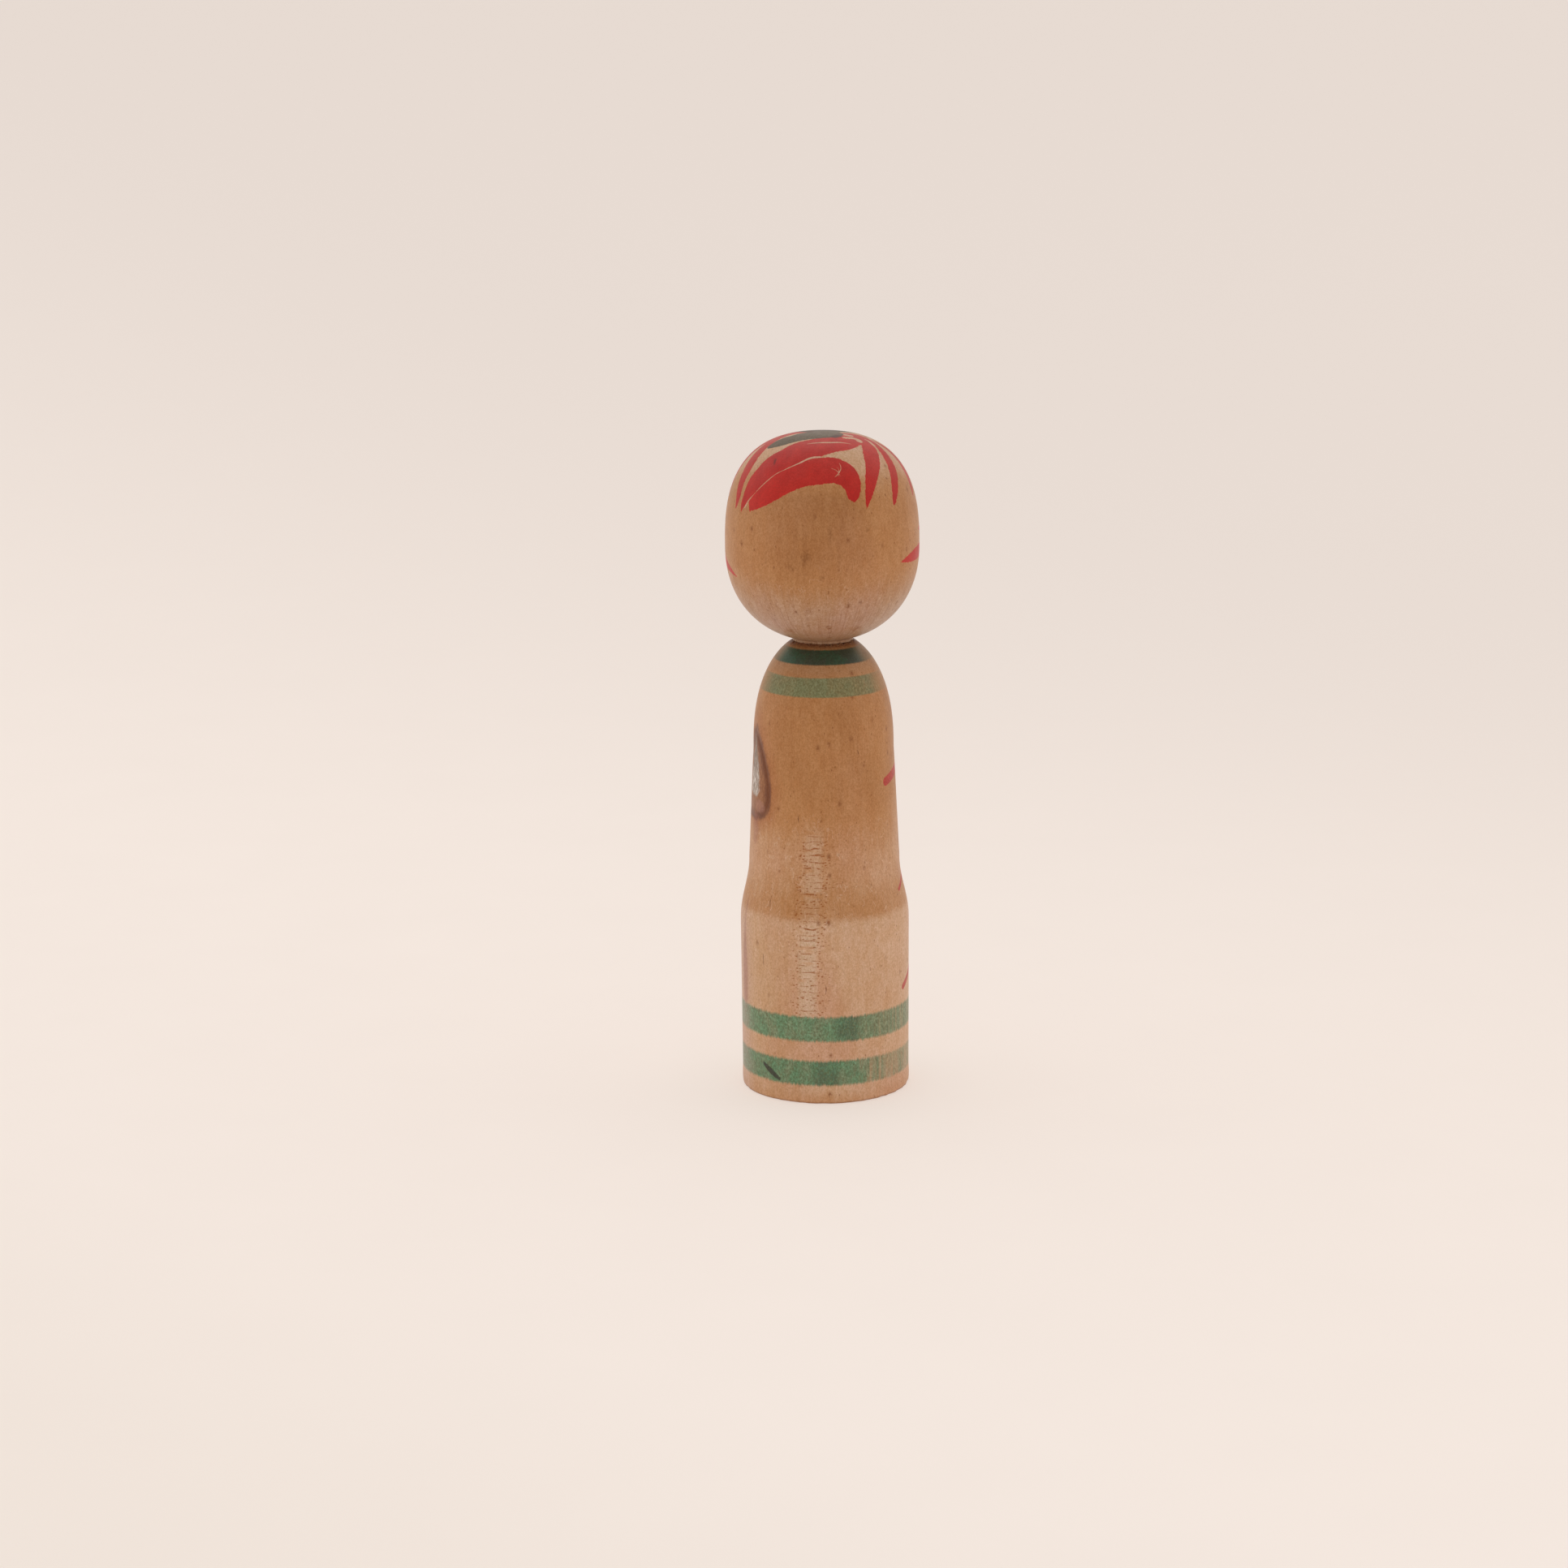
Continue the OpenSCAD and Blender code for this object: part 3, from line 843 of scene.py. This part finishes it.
def make_head():
    peg = head_rings[(head_rings[:, 1] <= SEAM) & (head_rings[:, 0] < NECK - 0.5)][::-1]
    outline = list(crown_line)
    outline += straight(collar_top, (NECK, SEAM), 0.3)[1:]
    outline += straight((NECK, SEAM), peg[0], 1)
    for a, b in zip(peg[:-1], peg[1:]):
        outline += straight(a, b, 3)
    outline += straight(peg[-1], (0, peg[-1, 1]), 1.5)
    outline.append(np.array((0, peg[-1, 1])))
    turned = Turned(outline, HEAD_COLUMNS)
    azimuth, height = turned.grid()
    rim = np.exp(-((height - SEAM) / 0.5) ** 2) * (turned.r[:, None] > NECK - 0.3)
    dents = crumble(azimuth, 36) * rim * 0.5
    turned.co = turned.points(turned.r[:, None] - dents, height)
    tools = (on_head, drop_on_head)
    red, along = brush(turned.co, CROWN_STROKES + CHEEK_STROKES + LIPS, *tools)
    black, _ = brush(turned.co, HAIR_PATCH + FRINGE + SIDELOCKS, *tools)
    iris, _ = brush(turned.co, IRISES, *tools)
    blot, _ = brush(turned.co, BLOTS, *tools)
    smudge, _ = brush(turned.co, SMUDGES, *tools)
    ink, ink_width = lines(turned.co, FACE_LINES, *tools)
    gap, gap_width = lines(turned.co, CROWN_GAPS, *tools)
    attributes = {
        "red": red, "red_along": along, "black": black, "iris": iris, "blot": blot, "smudge": smudge,
        "ink": ink, "ink_width": ink_width, "gap": gap, "gap_width": gap_width,
    }
    return build("painted_head", turned, attributes, head_material(), "head")


def make_body():
    bore = body_rings[body_rings[:, 0] < NECK - 0.5]
    outline = straight((0, 0), body_outer[0], 1.2)
    outline += list(body_line)
    outline += straight((NECK, SEAM), bore[-1], 0.6)[1:]
    for a, b in zip(bore[:0:-1], bore[-2::-1]):
        outline += straight(a, b, 3)
    outline += straight(bore[0], (0, bore[0, 1]), 1.5)
    outline.append(np.array((0, bore[0, 1])))
    turned = Turned(outline, BODY_COLUMNS)
    azimuth, height = turned.grid()
    r = turned.r[:, None]
    outer = r > NECK - 0.2
    rim = np.exp(-((height - SEAM) / 0.55) ** 2) * outer
    chips = crumble(azimuth, 40) * rim
    foot = np.exp(-((height - 0.3) / 0.7) ** 2) * (r > 29)
    wear = crumble(azimuth, 60) * foot * 0.35
    knot = egg(azimuth, height, 113, 23, 10.5, 12) + 3 * ~outer
    heart = egg(azimuth, height, 115.5, 16.5, 5, 5) + 3 * ~outer
    lobe = np.hypot((azimuth + 123) * math.radians(1) * KNOT_R / 4.6, (height - 107.6) / 3) + 3 * ~outer
    from_ladder = wrapped(azimuth - np.interp(height, LADDER_Z, LADDER_AZIMUTH), 180)
    ladder = np.abs(from_ladder) * math.radians(1) * r
    groove = 0.18 * np.exp(-((knot - 0.93) / 0.06) ** 2)
    turned.co = turned.points(r - chips * 0.55 - wear - groove, height - chips * 0.3)
    tools = (on_body, drop_on_body)
    petal, _ = brush(turned.co, PETALS, *tools)
    leaf, _ = brush(turned.co, LEAVES, *tools)
    streak, _ = brush(turned.co, STREAK, *tools)
    smear, _ = brush(turned.co, SMEAR, *tools)
    tail, _ = brush(turned.co, TAIL, *tools)
    fibre, fibre_width = lines(turned.co, FIBRES, *tools)
    attributes = {
        "petal": petal, "leaf": leaf, "streak": streak, "smear": smear, "tail": tail, "knot": knot,
        "heart": heart, "lobe": lobe, "ladder": ladder, "fibre": fibre, "fibre_width": fibre_width,
        "chip": np.clip(chips * 1.6, 0, 1),
    }
    return build("painted_body", turned, attributes, body_material(), "body")


make_head()
make_body()


# ---------------------------------------------------------------- floor and light

def make_stage():
    """A pale floor that curves up into a backdrop across from the camera, and a low rim elsewhere."""
    start, bend, reach = -0.4, 2.6, 9
    across = np.r_[-reach:-5:9j, 5:reach:9j]
    rows = [(y, 0.11 * max(0, y - 6) ** 2) for y in np.r_[reach:5:9j, 4.5:start:11j]]
    rows += [
        (start - bend * math.sin(a), bend * (1 - math.cos(a)))
        for a in np.linspace(0, math.pi / 2, 40)[1:]
    ]
    verts = [(x, y, max(z, 0.11 * max(0, abs(x) - 6) ** 2)) for y, z in rows for x in across]
    wide = len(across)
    faces = [
        (i * wide + k, i * wide + k + 1, (i + 1) * wide + k + 1, (i + 1) * wide + k)
        for i in range(len(rows) - 1) for k in range(wide - 1)
    ]
    mesh = bpy.data.meshes.new("studio_floor")
    mesh.from_pydata(verts, [], faces)
    mesh.polygons.foreach_set("use_smooth", [True] * len(faces))
    g = Nodes("studio_paper")
    fine = g.noise(g.place, 0.02, 2)
    paper = g.mix(fine, tint(182, 174, 168), tint(186, 178, 172))
    # The paper is toned darker on the camera's side and far up the sweep: painted shade standing in for
    # light falling off.
    away = g.add(g.times(g.x, -0.6), g.times(g.y, -0.8))
    paper = g.mix(g.ramp(away, -450, -200, 0.5, 0), paper, tint(168, 160, 150))
    g.fill(g.shader.inputs["Base Color"], g.mix(g.ramp(away, 0, 900), paper, tint(164, 156, 151)))
    g.shader.inputs["Roughness"].default_value = 0.9
    g.shader.inputs["Specular IOR Level"].default_value = 0.1
    # The paper glows a little of its own, which lights the doll from below and keeps the doll's shadow on it
    # faint.
    g.shader.inputs["Emission Color"].default_value = tint(243, 231, 222)
    g.shader.inputs["Emission Strength"].default_value = 0.6
    mesh.materials.append(g.material)
    floor = bpy.data.objects.new("studio_floor", mesh)
    bpy.context.scene.collection.objects.link(floor)


def make_light():
    """White paper all round and above, and a dim room behind the camera."""
    world = bpy.data.worlds.new("studio")
    world.use_nodes = True
    tree = world.node_tree
    place = tree.nodes.new("ShaderNodeTexCoord")
    toward = tree.nodes.new("ShaderNodeVectorMath")
    toward.operation = "DOT_PRODUCT"
    toward.inputs[1].default_value = (-0.08, 0.9, 0.42)
    tree.links.new(place.outputs["Generated"], toward.inputs[0])
    level = tree.nodes.new("ShaderNodeMapRange")
    level.interpolation_type = "SMOOTHSTEP"
    for key, number in zip(("From Min", "From Max", "To Min", "To Max"), (-0.05, 0.75, 0.98, 0.56)):
        level.inputs[key].default_value = number
    tree.links.new(toward.outputs["Value"], level.inputs["Value"])
    back = tree.nodes["Background"]
    back.inputs["Color"].default_value = (1, 0.985, 0.97, 1)
    tree.links.new(level.outputs[0], back.inputs["Strength"])
    bpy.context.scene.world = world
    bpy.context.scene.view_settings.view_transform = "Standard"


make_stage()
make_light()
